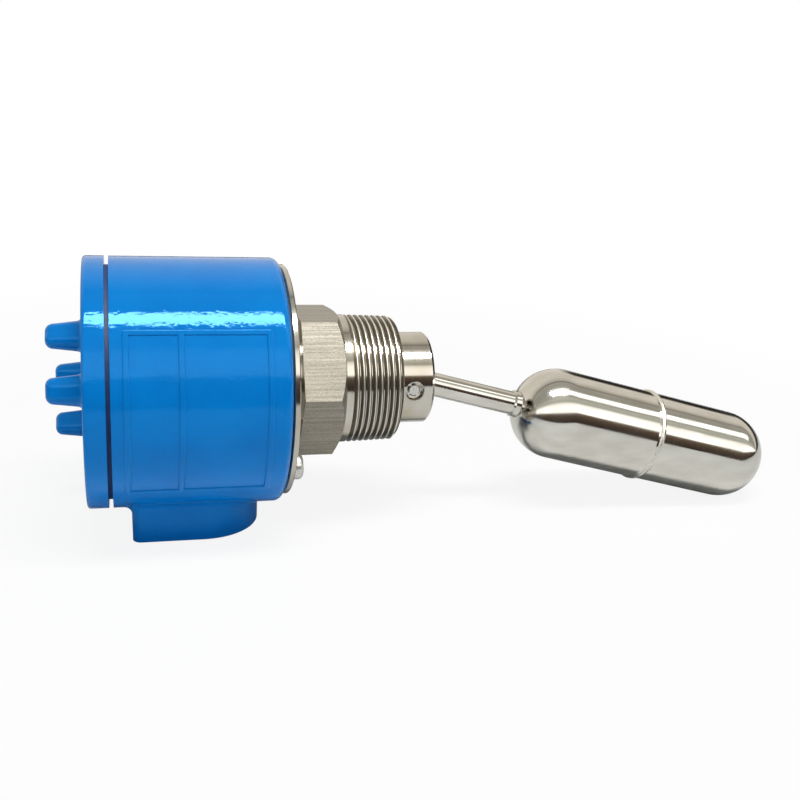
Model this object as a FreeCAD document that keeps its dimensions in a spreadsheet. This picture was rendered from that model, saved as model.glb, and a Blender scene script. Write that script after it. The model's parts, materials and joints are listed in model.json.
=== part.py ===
# Side-mounted float level switch: a cast housing with a screw cover, a hexagon process
# nipple, a float on a pivoted arm, and the magnets that carry its motion to a microswitch.
# Frame: +X runs along the nipple towards the float, +Z is up, and the origin is on the
# nipple's axis where its tapered pipe thread begins. All sizes are in millimetres.

import FreeCAD, Part
import math
import os
import re
import Sketcher

SIZES = {
    # cast housing
    "housing_radius": 45.07,
    "housing_length": 59.5,
    "housing_wall": 9.07,
    "end_wall": 7.0,
    "housing_edge_radius": 2.7,
    "boss_radius": 21.45,
    "boss_setback": 27.7,
    "boss_reach": 25.35,
    "boss_height": 8.93,
    "boss_corner_radius": 3.0,
    "boss_fillet_radius": 3.0,
    "entry_radius": 11.7,
    "entry_chamfer": 1.0,
    "post_height": 7.5,
    "post_radius": 4.0,
    "post_inset": 9.0,
    "earth_post_inset": 7.0,
    # cast frame round the bare name field
    "ridge_height": 0.5,
    "ridge_width": 1.0,
    "frame_half_angle": 38.5,
    "frame_left": 79.7,
    "frame_divider": 62.0,
    "frame_right": 32.8,
    # screw cover and its seal
    "cover_overhang": 0.03,
    "cover_thickness": 7.3,
    "cover_edge_radius": 1.2,
    "cover_recess": 3.0,
    "cover_thread_step": 2.0,
    "cover_thread_length": 10.0,
    "cover_thread_runout": 2.0,
    "cover_spigot_wall": 4.5,
    "seal_inset": 3.07,
    "seal_thickness": 1.5,
    "lug_circle": 30.2,
    "lug_tilt": 30.8,
    "lug_half_spread": 18.0,
    "lug_length": 11.8,
    "lug_width": 11.0,
    "lug_depth": 8.2,
    "lug_draft": 6.5,
    "lug_tip_radius": 2.65,
    "lug_root_radius": 1.8,
    # plate between housing and nipple
    "plate_inset": 2.47,
    "plate_thickness": 2.1,
    "plate_chamfer": 0.35,
    "gasket_thickness": 0.5,
    "gasket_inset": 1.1,
    "plate_screw_inset": 6.2,
    "plate_screw_angle": 41.0,
    "plate_screw_radius": 2.5,
    "plate_screw_head_radius": 4.75,
    "plate_screw_head_height": 3.7,
    "plate_screw_grip": 5.4,
    # process nipple
    "neck_length": 3.9,
    "neck_radius": 22.5,
    "hex_flats": 50.3,
    "hex_turn": 1.5,
    "hex_length": 15.7,
    "hex_chamfer_length": 2.7,
    "hex_face_radius": 24.6,
    "collar_length": 3.0,
    "thread_radius": 24.15,
    "thread_length": 18.6,
    "thread_taper": 0.0625,
    "thread_chamfer": 1.4,
    "thread_pitch": 2.209,
    "thread_depth": 1.35,
    "thread_crest": 0.4,
    "nose_radius": 17.34,
    "nose_length": 13.3,
    "nose_chamfer": 1.0,
    "wet_bore_radius": 12.5,
    "partition_depth": 11.8,
    "partition_thickness": 2.2,
    "dry_bore_radius": 11.0,
    "spigot_radius": 15.0,
    "spigot_stickout": 1.3,
    "nut_thickness": 5.0,
    "nut_flats": 38.0,
    # pivot
    "pivot_offset": 24.1,
    "pin_radius": 1.9,
    "pin_end_inset": 1.1,
    "clip_seat_inset": 2.9,
    "clip_recess_radius": 3.7,
    "clip_radius": 3.3,
    "clip_thickness": 0.7,
    "clip_groove_depth": 0.45,
    "clip_mouth": 2.4,
    "clip_mouth_angle": 40.0,
    "washer_radius": 4.0,
    # float arm
    "arm_droop": 14.44,
    "hub_radius": 6.5,
    "hub_half_width": 8.0,
    "rod_radius": 4.64,
    "lever_radius": 3.5,
    "drive_magnet_offset": 27.0,
    "drive_magnet_length": 8.0,
    "magnet_skin": 0.5,
    # float
    "float_radius": 18.2,
    "float_offset": 48.3,
    "float_length": 115.8,
    "float_wall": 0.9,
    "float_lip_width": 3.0,
    "float_lip_height": 0.55,
    "rod_socket_depth": 9.0,
    "rod_collar_length": 2.2,
    "rod_collar_thickness": 0.7,
    # switch bracket
    "bracket_sheet": 1.5,
    "bracket_margin": 4.0,
    "bracket_half_height": 7.0,
    "cheek_half_gap": 5.3,
    "cheek_length": 28.0,
    "cheek_top": 19.0,
    "bracket_screw_radius": 1.9,
    "small_head_radius": 3.6,
    "small_head_height": 2.4,
    "small_screw_grip": 5.5,
    # rocker
    "rocker_pivot_offset": 46.0,
    "rocker_tilt": 7.22,
    "rocker_pin_radius": 1.5,
    "rocker_hub_radius": 3.8,
    "rocker_half_width": 3.5,
    "rocker_half_height": 2.5,
    "rocker_tail": 10.0,
    "rocker_magnet_offset": 25.0,
    "rocker_magnet_length": 6.0,
    "rocker_magnet_radius": 3.0,
    # microswitch
    "switch_length": 27.8,
    "switch_height": 15.9,
    "switch_thickness": 10.3,
    "switch_lift": 5.0,
    "switch_overhang": 8.8,
    "switch_hole_pitch": 22.2,
    "switch_hole_lift": 4.5,
    "switch_screw_radius": 1.5,
    "plunger_arm": 5.0,
    "plunger_radius": 1.5,
    "plunger_depth": 5.0,
    "plunger_gap": 0.2,
    "blade_width": 4.8,
    "blade_thickness": 0.8,
    "blade_height": 6.0,
    "blade_pitch": 8.6,
    # terminal block
    "terminal_width": 14.0,
    "terminal_depth": 14.0,
    "terminal_half_height": 16.0,
    "terminal_pitch": 10.0,
    "terminal_slot": 7.6,
    "terminal_slot_depth": 5.0,
    "terminal_gap": 2.5,
    "terminal_screw_radius": 1.7,
    "terminal_head_radius": 3.1,
    "terminal_head_height": 2.2,
    # clearances
    "running_clearance": 0.05,
    "thread_clearance": 0.08,
    "hole_clearance": 0.25,
    "seal_clearance": 0.06,
}

PLATE_SCREWS = 2
LUG_PAIRS = 2
HALF_TURN_SLACK = 0.001

# Sizes that follow from the ones above.
CAVITY_RADIUS = "(housing_radius - housing_wall)"
BOSS_DROP = "(housing_radius + boss_height)"
POST_SPACING = f"({CAVITY_RADIUS} - post_inset)"
EARTH_POST_DROP = f"({CAVITY_RADIUS} - earth_post_inset)"
COVER_RADIUS = "(housing_radius + cover_overhang)"
COVER_THREAD_RADIUS = f"({CAVITY_RADIUS} + cover_thread_step)"
SEAL_RADIUS = "(housing_radius - seal_inset)"
PLATE_RADIUS = "(housing_radius - plate_inset)"
PLATE_SCREW_CIRCLE = f"({PLATE_RADIUS} - plate_screw_inset)"
BRACKET_HALF_WIDTH = f"({POST_SPACING} + bracket_margin)"

# Stations along X, from the origin back to the cover.
HEX_FACE = "-collar_length"
HEX_BACK = f"({HEX_FACE} - hex_length)"
PLATE_FACE = f"({HEX_BACK} - neck_length)"
PLATE_BACK = f"({PLATE_FACE} - plate_thickness)"
HOUSING_END = f"({PLATE_BACK} - gasket_thickness)"
CAVITY_FLOOR = f"({HOUSING_END} - end_wall)"
HOUSING_MOUTH = f"({HOUSING_END} - housing_length)"
COVER_BACK = f"({HOUSING_MOUTH} - seal_thickness - seal_clearance)"
COVER_FACE = f"({COVER_BACK} - cover_thickness)"
SPIGOT_END = f"({CAVITY_FLOOR} - nut_thickness - spigot_stickout)"
POST_TOP = f"({CAVITY_FLOOR} - post_height)"
BRACKET_BACK = f"({POST_TOP} - bracket_sheet)"
BOSS_CENTRE = f"({HOUSING_END} - boss_setback)"
THREAD_END = "thread_length"
NOSE_END = "(thread_length + nose_length)"
THREAD_END_RADIUS = "(thread_radius - thread_length * thread_taper / 2)"
SWITCH_RIGHT = "(switch_overhang - rocker_pivot_offset - plunger_arm)"
SWITCH_LEFT = f"({SWITCH_RIGHT} - switch_length)"
PLUNGER_X = "(-rocker_pivot_offset - plunger_arm)"
CHEEK_OUTER = "(cheek_half_gap + bracket_sheet)"
TERMINAL_BACK = "(-rocker_pivot_offset - rocker_pin_radius - terminal_gap)"
TERMINAL_FACE = f"({TERMINAL_BACK} - terminal_depth)"

doc = FreeCAD.newDocument("FloatLevelSwitch")
sheet = doc.addObject("Spreadsheet::Sheet", "Sizes")


def fill_sheet():
    for row, (name, number) in enumerate(SIZES.items(), start=1):
        sheet.set(f"A{row}", name)
        sheet.set(f"B{row}", str(number))
        sheet.setAlias(f"B{row}", name)
    doc.recompute()


def bound(expression):
    """Point every size named in an expression at its cell."""
    return re.sub(r"[a-z_]+", lambda word: cell_name(word.group(0)), expression)


def cell_name(word):
    if word in SIZES:
        return f"Sizes.{word}"
    return word


def number(expression):
    return float(sheet.evalExpression(bound(expression)))


# ---------------------------------------------------------------- sketches

def new_body(label, several=False):
    body = doc.addObject("PartDesign::Body", label)
    body.Label = label
    body.AllowCompound = several
    return body


def origin_plane(body, role):
    for feature in body.Origin.OriginFeatures:
        if feature.Role == role:
            return feature
    raise ValueError(f"no plane {role}")


def sketch_on(body, role, offset="0", turn="0"):
    """A sketch on one of the body's own planes, moved along and turned about its normal."""
    sketch = body.newObject("Sketcher::SketchObject", f"{body.Label}_sketch")
    sketch.AttachmentSupport = (origin_plane(body, role), [""])
    sketch.MapMode = "FlatFace"
    turned_by = FreeCAD.Rotation(FreeCAD.Vector(0, 0, 1), number(turn))
    sketch.AttachmentOffset = FreeCAD.Placement(FreeCAD.Vector(0, 0, number(offset)), turned_by)
    if offset != "0":
        sketch.setExpression("AttachmentOffset.Base.z", bound(offset))
    if turn != "0":
        sketch.setExpression("AttachmentOffset.Rotation.Angle", bound(turn))
    return sketch


def pin_point(sketch, geometry, end, across, up):
    """Hold one point of a sketch at bound distances from the sketch's origin."""
    for kind, expression, axis in (("DistanceX", across, -2), ("DistanceY", up, -1)):
        if expression == "0":
            sketch.addConstraint(Sketcher.Constraint("PointOnObject", geometry, end, axis))
            continue
        held = Sketcher.Constraint(kind, -1, 1, geometry, end, number(expression))
        index = sketch.addConstraint(held)
        sketch.setExpression(f"Constraints[{index}]", bound(expression))


def arc_centre(start, end, radius, sense):
    chord = end - start
    middle = (start + end) * 0.5
    height = math.sqrt(max(radius ** 2 - (chord.Length / 2) ** 2, 0.0))
    side = FreeCAD.Vector(-chord.y, chord.x, 0).normalize()
    return middle + side * height * sense


def add_arc(sketch, start, end, corner):
    """An arc of up to half a turn; sense is 1 for counterclockwise and -1 for clockwise."""
    across, up, radius, sense = corner
    size = number(radius)
    centre = arc_centre(start, end, size, sense)
    first, last = (start, end) if sense > 0 else (end, start)
    angles = [math.atan2(p.y - centre.y, p.x - centre.x) for p in (first, last)]
    circle = Part.Circle(centre, FreeCAD.Vector(0, 0, 1), size)
    geometry = sketch.addGeometry(Part.ArcOfCircle(circle, angles[0], angles[1]))
    chord = end - start
    if chord.Length < 2 * size - HALF_TURN_SLACK:
        held = Sketcher.Constraint("Radius", geometry, size)
        expression = radius
    elif abs(chord.x) < abs(chord.y):
        held = Sketcher.Constraint("DistanceX", -1, 1, geometry, 3, centre.x)
        expression = across
    else:
        held = Sketcher.Constraint("DistanceY", -1, 1, geometry, 3, centre.y)
        expression = up
    index = sketch.addConstraint(held)
    sketch.setExpression(f"Constraints[{index}]", bound(expression))
    return geometry


def outline(sketch, corners):
    """A closed outline. A corner is (across, up), or (across, up, radius, sense) before an arc."""
    points = [FreeCAD.Vector(number(c[0]), number(c[1]), 0) for c in corners]
    ends = []
    for index, corner in enumerate(corners):
        start = points[index]
        end = points[(index + 1) % len(points)]
        if len(corner) == 2:
            geometry = sketch.addGeometry(Part.LineSegment(start, end))
            ends.append((geometry, 1, 2))
        else:
            geometry = add_arc(sketch, start, end, corner)
            ends.append((geometry, 1, 2) if corner[3] > 0 else (geometry, 2, 1))
    for index, (geometry, first, last) in enumerate(ends):
        following = ends[(index + 1) % len(ends)]
        joined = Sketcher.Constraint("Coincident", geometry, last, following[0], following[1])
        sketch.addConstraint(joined)
    for (geometry, first, last), corner in zip(ends, corners):
        pin_point(sketch, geometry, first, corner[0], corner[1])


def rectangle(sketch, left, right, bottom, top):
    outline(sketch, [(left, bottom), (right, bottom), (right, top), (left, top)])


def disc(sketch, across, up, radius):
    centre = FreeCAD.Vector(number(across), number(up), 0)
    circle = Part.Circle(centre, FreeCAD.Vector(0, 0, 1), number(radius))
    geometry = sketch.addGeometry(circle)
    index = sketch.addConstraint(Sketcher.Constraint("Radius", geometry, number(radius)))
    sketch.setExpression(f"Constraints[{index}]", bound(radius))
    pin_point(sketch, geometry, 3, across, up)


def hexagon(sketch, flats):
    corners = []
    for step in range(6):
        angle = 60 * step
        corners.append((f"{flats} / 2 / cos(30) * cos({angle})", f"{flats} / 2 / cos(30) * sin({angle})"))
    outline(sketch, corners)


# ---------------------------------------------------------------- features

def settle(feature):
    """Recompute, and stop at once if the feature failed."""
    doc.recompute()
    if "Invalid" in feature.State or "Error" in feature.State:
        raise ValueError(f"{feature.Label}: {feature.State}")
    return feature


def extrude(body, kind, sketch, length, backwards=False, both_ways=False, draft=None):
    feature = body.newObject(f"PartDesign::{kind}", f"{body.Label}_{kind}")
    feature.Profile = sketch
    feature.Length = number(length)
    feature.setExpression("Length", bound(length))
    feature.Reversed = backwards
    if both_ways:
        feature.SideType = "Symmetric"
    if draft:
        feature.TaperAngle = number(draft)
        feature.setExpression("TaperAngle", bound(draft))
    return settle(feature)


def pad(body, sketch, length, **options):
    return extrude(body, "Pad", sketch, length, **options)


def pocket(body, sketch, length, **options):
    """A cut that is checked: one that removes nothing is an error."""
    before = body.Shape.Volume
    feature = extrude(body, "Pocket", sketch, length, **options)
    if body.Shape.Volume > before - 1e-6:
        raise ValueError(f"{feature.Label} cuts nothing")
    return feature


def spin(body, kind, sketch, axis="H_Axis"):
    feature = body.newObject(f"PartDesign::{kind}", f"{body.Label}_{kind}")
    feature.Profile = sketch
    feature.ReferenceAxis = (sketch, [axis])
    feature.Angle = 360
    return settle(feature)


def revolve(body, corners):
    sketch = sketch_on(body, "XZ_Plane")
    outline(sketch, corners)
    return spin(body, "Revolution", sketch)


def groove(body, corners):
    before = body.Shape.Volume
    sketch = sketch_on(body, "XZ_Plane")
    outline(sketch, corners)
    feature = spin(body, "Groove", sketch)
    if body.Shape.Volume > before - 1e-6:
        raise ValueError(f"{feature.Label} cuts nothing")
    return feature


def around_x(body, originals, count):
    """Copies of features, equally spaced about the body's X axis."""
    pattern = body.newObject("PartDesign::PolarPattern", f"{body.Label}_pattern")
    pattern.Originals = originals
    pattern.Axis = (origin_plane(body, "X_Axis"), [""])
    pattern.Angle = 360
    pattern.Occurrences = count
    body.Tip = pattern
    return settle(pattern)


def across_plane(body, originals, role):
    mirror = body.newObject("PartDesign::Mirrored", f"{body.Label}_mirror")
    mirror.Originals = originals
    mirror.MirrorPlane = (origin_plane(body, role), [""])
    body.Tip = mirror
    return settle(mirror)


def edges_where(body, test):
    """Names of the tip's edges that a test picks; the test reads three points on the edge."""
    names = []
    for index, edge in enumerate(body.Tip.Shape.Edges, start=1):
        first, last = edge.ParameterRange
        points = [edge.valueAt(first + (last - first) * part) for part in (0.0, 0.37, 1.0)]
        if all(test(point) for point in points):
            names.append(f"Edge{index}")
    if not names:
        raise ValueError(f"no edge found on {body.Label}")
    return names


def round_edges(body, radius, test):
    return dress(body, "Fillet", "Radius", radius, test)


def chamfer_edges(body, width, test):
    return dress(body, "Chamfer", "Size", width, test)


def dress(body, kind, size_name, size, test):
    base = body.Tip
    names = edges_where(body, test)
    feature = body.newObject(f"PartDesign::{kind}", f"{body.Label}_{kind}")
    feature.Base = (base, names)
    setattr(feature, size_name, number(size))
    feature.setExpression(size_name, bound(size))
    return settle(feature)


def place(body, along, turn="0"):
    """Move a body along X and tilt it about Y; a positive turn lowers its +X end."""
    tilt = FreeCAD.Rotation(FreeCAD.Vector(0, 1, 0), number(turn))
    body.Placement = FreeCAD.Placement(FreeCAD.Vector(number(along), 0, 0), tilt)
    body.setExpression("Placement.Base.x", bound(along))
    if turn != "0":
        body.setExpression("Placement.Rotation.Angle", bound(turn))
    doc.recompute()


def near(first, second, slack=0.02):
    return abs(first - second) < slack


def radius_about_x(point):
    return math.hypot(point.y, point.z)


# ---------------------------------------------------------------- housing and cover

def make_housing():
    body = new_body("housing")
    revolve(body, [
        (HOUSING_MOUTH, "0"),
        (HOUSING_END, "0"),
        (HOUSING_END, "housing_radius - housing_edge_radius", "housing_edge_radius", 1),
        (f"{HOUSING_END} - housing_edge_radius", "housing_radius"),
        (HOUSING_MOUTH, "housing_radius"),
    ])
    add_cable_boss(body)
    add_name_frame(body)
    groove(body, [
        (HOUSING_MOUTH, "0"),
        (CAVITY_FLOOR, "0"),
        (CAVITY_FLOOR, CAVITY_RADIUS),
        (f"{HOUSING_MOUTH} + cover_thread_length + cover_thread_runout", CAVITY_RADIUS),
        (f"{HOUSING_MOUTH} + cover_thread_length + cover_thread_runout", COVER_THREAD_RADIUS),
        (HOUSING_MOUTH, COVER_THREAD_RADIUS),
    ])
    add_posts(body)
    cut_end_wall(body)
    cut_cable_entry(body)
    return body


def add_cable_boss(body):
    """The pad for the cable entry: flat towards the cover, half round towards the nipple."""
    flat = f"{BOSS_CENTRE} - boss_reach"
    sketch = sketch_on(body, "XY_Plane", offset=f"-{BOSS_DROP}")
    outline(sketch, [
        (f"{flat} + boss_corner_radius", "-boss_radius"),
        (BOSS_CENTRE, "-boss_radius", "boss_radius", 1),
        (BOSS_CENTRE, "boss_radius"),
        (f"{flat} + boss_corner_radius", "boss_radius", "boss_corner_radius", 1),
        (flat, "boss_radius - boss_corner_radius"),
        (flat, "-boss_radius + boss_corner_radius", "boss_corner_radius", 1),
    ])
    pad(body, sketch, BOSS_DROP)
    wall = number("housing_radius")
    low = -wall * 0.5
    left = number(HOUSING_MOUTH) + 1
    right = number(HOUSING_END) - number("housing_edge_radius") - 0.5
    round_edges(body, "boss_fillet_radius", lambda p: (
        near(radius_about_x(p), wall) and p.z < low and left < p.x < right))


def add_name_frame(body):
    """Ridges round the bare name field: three that follow the wall, two along it."""
    sketch = sketch_on(body, "XY_Plane")
    for station in ("frame_left", "frame_divider", "frame_right"):
        rectangle(sketch, f"-{station} - ridge_width / 2", f"-{station} + ridge_width / 2",
                  "-housing_radius - ridge_height", "-housing_radius + ridge_height")
    ribs = spin(body, "Revolution", sketch)
    ribs.Midplane = True
    ribs.setExpression("Angle", bound("2 * frame_half_angle"))
    settle(ribs)
    for turn in ("-frame_half_angle", "frame_half_angle"):
        line = sketch_on(body, "YZ_Plane", offset="-frame_left - ridge_width / 2", turn=turn)
        rectangle(line, "-housing_radius - ridge_height", "-housing_radius + ridge_height",
                  "-ridge_width / 2", "ridge_width / 2")
        pad(body, line, "frame_left - frame_right + ridge_width")


def add_posts(body):
    """Two posts for the switch bracket and one for the earth screw, on the cavity's floor."""
    sketch = sketch_on(body, "YZ_Plane", offset=POST_TOP)
    disc(sketch, f"-{POST_SPACING}", "0", "post_radius")
    disc(sketch, POST_SPACING, "0", "post_radius")
    disc(sketch, "0", f"-{EARTH_POST_DROP}", "post_radius")
    pad(body, sketch, "post_height + 1")
    holes = sketch_on(body, "YZ_Plane", offset=POST_TOP)
    disc(holes, f"-{POST_SPACING}", "0", "bracket_screw_radius")
    disc(holes, POST_SPACING, "0", "bracket_screw_radius")
    disc(holes, "0", f"-{EARTH_POST_DROP}", "bracket_screw_radius")
    pocket(body, holes, "small_screw_grip + 1", backwards=True)


def cut_end_wall(body):
    centre = sketch_on(body, "YZ_Plane", offset=HOUSING_END)
    disc(centre, "0", "0", "spigot_radius + hole_clearance")
    pocket(body, centre, "end_wall")
    hole = sketch_on(body, "YZ_Plane", offset=HOUSING_END, turn="plate_screw_angle")
    disc(hole, f"-{PLATE_SCREW_CIRCLE}", "0", "plate_screw_radius")
    drilled = pocket(body, hole, "plate_screw_grip + hole_clearance")
    around_x(body, [drilled], PLATE_SCREWS)


def cut_cable_entry(body):
    sketch = sketch_on(body, "XY_Plane", offset=f"-{BOSS_DROP}")
    disc(sketch, BOSS_CENTRE, "0", "entry_radius")
    pocket(body, sketch, f"{BOSS_DROP} - {CAVITY_RADIUS} / 2", backwards=True)
    bottom = -number(BOSS_DROP)
    centre = number(BOSS_CENTRE)
    entry = number("entry_radius")
    chamfer_edges(body, "entry_chamfer", lambda p: (
        near(p.z, bottom) and near(math.hypot(p.x - centre, p.y), entry)))


def make_cover():
    body = new_body("cover")
    spigot = f"{COVER_THREAD_RADIUS} - thread_clearance"
    spigot_end = f"{HOUSING_MOUTH} + cover_thread_length"
    recess = f"{COVER_FACE} + cover_thickness - cover_recess"
    revolve(body, [
        (COVER_FACE, "0"),
        (recess, "0"),
        (recess, f"{spigot} - cover_spigot_wall"),
        (spigot_end, f"{spigot} - cover_spigot_wall"),
        (spigot_end, spigot),
        (COVER_BACK, spigot),
        (COVER_BACK, COVER_RADIUS),
        (f"{COVER_FACE} + cover_edge_radius", COVER_RADIUS, "cover_edge_radius", 1),
        (COVER_FACE, f"{COVER_RADIUS} - cover_edge_radius"),
    ])
    add_lugs(body)
    return body


def add_lugs(body):
    """Two opposite pairs of cast lugs, so that a bar between them turns the cover."""
    lugs = []
    for turn in ("lug_tilt - lug_half_spread", "lug_tilt + lug_half_spread"):
        sketch = sketch_on(body, "YZ_Plane", offset=COVER_FACE, turn=f"-({turn})")
        half = "(lug_width - lug_depth) / 2"
        outline(sketch, [
            ("-lug_circle + lug_depth / 2", f"-{half}"),
            ("-lug_circle + lug_depth / 2", half, "lug_depth / 2", 1),
            ("-lug_circle - lug_depth / 2", half),
            ("-lug_circle - lug_depth / 2", f"-{half}", "lug_depth / 2", 1),
        ])
        lugs.append(pad(body, sketch, "lug_length", backwards=True, draft="-lug_draft"))
    around_x(body, lugs, LUG_PAIRS)
    tip = number(f"{COVER_FACE} - lug_length")
    face = number(COVER_FACE)
    reach = number("lug_circle + lug_depth")
    round_edges(body, "lug_tip_radius", lambda p: near(p.x, tip))
    round_edges(body, "lug_root_radius", lambda p: near(p.x, face) and radius_about_x(p) < reach)


def make_cover_seal():
    body = new_body("cover_seal")
    revolve(body, [
        (COVER_BACK, f"{COVER_THREAD_RADIUS} + hole_clearance"),
        (f"{COVER_BACK} + seal_thickness", f"{COVER_THREAD_RADIUS} + hole_clearance"),
        (f"{COVER_BACK} + seal_thickness", SEAL_RADIUS),
        (COVER_BACK, SEAL_RADIUS),
    ])
    return body


# ---------------------------------------------------------------- plate and nipple

def make_ring(label, back, face, inner, outer, hole):
    """A flat ring with the two plate screws' holes through it."""
    body = new_body(label)
    revolve(body, [(back, inner), (face, inner), (face, outer), (back, outer)])
    sketch = sketch_on(body, "YZ_Plane", offset=face, turn="plate_screw_angle")
    disc(sketch, f"-{PLATE_SCREW_CIRCLE}", "0", hole)
    drilled = pocket(body, sketch, f"{face} - {back}")
    around_x(body, [drilled], PLATE_SCREWS)
    return body


def make_mounting_plate():
    hole = "plate_screw_radius + hole_clearance"
    body = make_ring("mounting_plate", PLATE_BACK, PLATE_FACE,
                     "spigot_radius + hole_clearance", PLATE_RADIUS, hole)
    rim = number(PLATE_RADIUS)
    chamfer_edges(body, "plate_chamfer", lambda p: near(radius_about_x(p), rim))
    return body


def make_plate_gasket():
    hole = "plate_screw_radius + hole_clearance"
    return make_ring("plate_gasket", HOUSING_END, PLATE_BACK,
                     "spigot_radius + hole_clearance", f"{PLATE_RADIUS} - gasket_inset", hole)


def make_plate_screws():
    """Pan heads on the plate, shanks through plate and gasket into the housing."""
    body = new_body("plate_screws", several=True)
    sketch = sketch_on(body, "YZ_Plane", offset=PLATE_FACE, turn="plate_screw_angle")
    disc(sketch, f"-{PLATE_SCREW_CIRCLE}", "0", "plate_screw_head_radius")
    head = pad(body, sketch, "plate_screw_head_height")
    shank = sketch_on(body, "YZ_Plane", offset=PLATE_FACE, turn="plate_screw_angle")
    disc(shank, f"-{PLATE_SCREW_CIRCLE}", "0", "plate_screw_radius")
    stem = pad(body, shank, "plate_thickness + gasket_thickness + plate_screw_grip", backwards=True)
    around_x(body, [head, stem], PLATE_SCREWS)
    outer = number(f"{PLATE_FACE} + plate_screw_head_height")
    round_edges(body, "plate_screw_head_height * 0.45", lambda p: near(p.x, outer))
    return body


def make_hex_nipple():
    """One turned piece: spigot, neck, hexagon, collar, tapered thread and nose."""
    body = new_body("hex_nipple")
    revolve(body, [
        (SPIGOT_END, "0"),
        (NOSE_END, "0"),
        (NOSE_END, "nose_radius - nose_chamfer"),
        (f"{NOSE_END} - nose_chamfer", "nose_radius"),
        (THREAD_END, "nose_radius"),
        (THREAD_END, f"{THREAD_END_RADIUS} - thread_chamfer"),
        (f"{THREAD_END} - thread_chamfer", f"{THREAD_END_RADIUS} + thread_chamfer * thread_taper / 2"),
        ("0", "thread_radius"),
        (HEX_FACE, "thread_radius"),
        (HEX_FACE, "neck_radius"),
        (PLATE_FACE, "neck_radius"),
        (PLATE_FACE, "spigot_radius"),
        (SPIGOT_END, "spigot_radius"),
    ])
    flats = sketch_on(body, "YZ_Plane", offset=HEX_BACK, turn="-hex_turn")
    hexagon(flats, "hex_flats")
    pad(body, flats, "hex_length")
    corner = "hex_flats / 2 / cos(30)"
    groove(body, [
        (f"{HEX_FACE} - hex_chamfer_length", corner),
        (HEX_FACE, "hex_face_radius"),
        (HEX_FACE, f"{corner} + 1"),
        (f"{HEX_FACE} - hex_chamfer_length", f"{corner} + 1"),
    ])
    groove(body, [
        ("-partition_depth", "0"),
        (NOSE_END, "0"),
        (NOSE_END, "wet_bore_radius"),
        ("-partition_depth", "wet_bore_radius"),
    ])
    groove(body, [
        (SPIGOT_END, "0"),
        ("-partition_depth - partition_thickness", "0"),
        ("-partition_depth - partition_thickness", "dry_bore_radius"),
        (SPIGOT_END, "dry_bore_radius"),
    ])
    cut_thread(body)
    cut_pivot_seats(body)
    return body


def cut_thread(body):
    """The tapered thread as rings one pitch apart, each valley a V below the cone."""
    sketch = sketch_on(body, "XZ_Plane")
    half = "(thread_pitch - thread_crest) / 2"
    valleys = int(number("(thread_length - thread_chamfer) / thread_pitch"))
    for turn in range(valleys):
        middle = f"thread_pitch * {turn + 0.75}"
        crest = f"thread_radius - {middle} * thread_taper / 2"
        outline(sketch, [
            (middle, f"{crest} - thread_depth"),
            (f"{middle} + {half}", f"{crest} - {half} * thread_taper / 2"),
            (f"{middle} + {half}", f"{crest} + 1"),
            (f"{middle} - {half}", f"{crest} + 1"),
            (f"{middle} - {half}", f"{crest} + {half} * thread_taper / 2"),
        ])
    spin(body, "Groove", sketch)


def cut_pivot_seats(body):
    """The cross hole for the pin, and a round recess at each end for its clip."""
    cross = sketch_on(body, "XZ_Plane")
    disc(cross, "pivot_offset", "0", "pin_radius")
    pocket(body, cross, "3 * nose_radius", both_ways=True)
    recess = sketch_on(body, "XZ_Plane", offset="nose_radius")
    disc(recess, "pivot_offset", "0", "clip_recess_radius")
    cut = pocket(body, recess, "clip_seat_inset")
    across_plane(body, [cut], "XZ_Plane")


def make_lock_nut():
    body = new_body("lock_nut")
    sketch = sketch_on(body, "YZ_Plane", offset=f"{CAVITY_FLOOR} - nut_thickness")
    hexagon(sketch, "nut_flats")
    disc(sketch, "0", "0", "spigot_radius")
    pad(body, sketch, "nut_thickness")
    return body


# ---------------------------------------------------------------- pivot

def make_pivot_pin():
    body = new_body("pivot_pin")
    end = "nose_radius - pin_end_inset"
    seat = "nose_radius - clip_seat_inset + running_clearance"
    waist = "pin_radius - clip_groove_depth"
    sketch = sketch_on(body, "XY_Plane")
    half = [
        (waist, seat),
        ("pin_radius", seat),
        ("pin_radius", f"-({seat})"),
        (waist, f"-({seat})"),
        (waist, f"-({seat}) - clip_thickness"),
        ("pin_radius", f"-({seat}) - clip_thickness"),
        ("pin_radius", f"-({end})"),
        ("0", f"-({end})"),
        ("0", end),
        ("pin_radius", end),
        ("pin_radius", f"{seat} + clip_thickness"),
        (waist, f"{seat} + clip_thickness"),
    ]
    outline(sketch, half[::-1])
    spin(body, "Revolution", sketch, axis="V_Axis")
    place(body, "pivot_offset")
    return body


def make_pivot_clips():
    """An open retaining ring in each end groove of the pin."""
    body = new_body("pivot_clips", several=True)
    seat = "nose_radius - clip_seat_inset + running_clearance"
    ring = sketch_on(body, "XZ_Plane", offset=seat)
    disc(ring, "0", "0", "clip_radius")
    disc(ring, "0", "0", "pin_radius - clip_groove_depth")
    plate = pad(body, ring, "clip_thickness")
    mouth = sketch_on(body, "XZ_Plane", offset=f"{seat} + clip_thickness", turn="clip_mouth_angle")
    rectangle(mouth, "0", "clip_radius + 1", "-clip_mouth / 2", "clip_mouth / 2")
    cut = pocket(body, mouth, "clip_thickness")
    across_plane(body, [plate, cut], "XZ_Plane")
    place(body, "pivot_offset")
    return body


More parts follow.
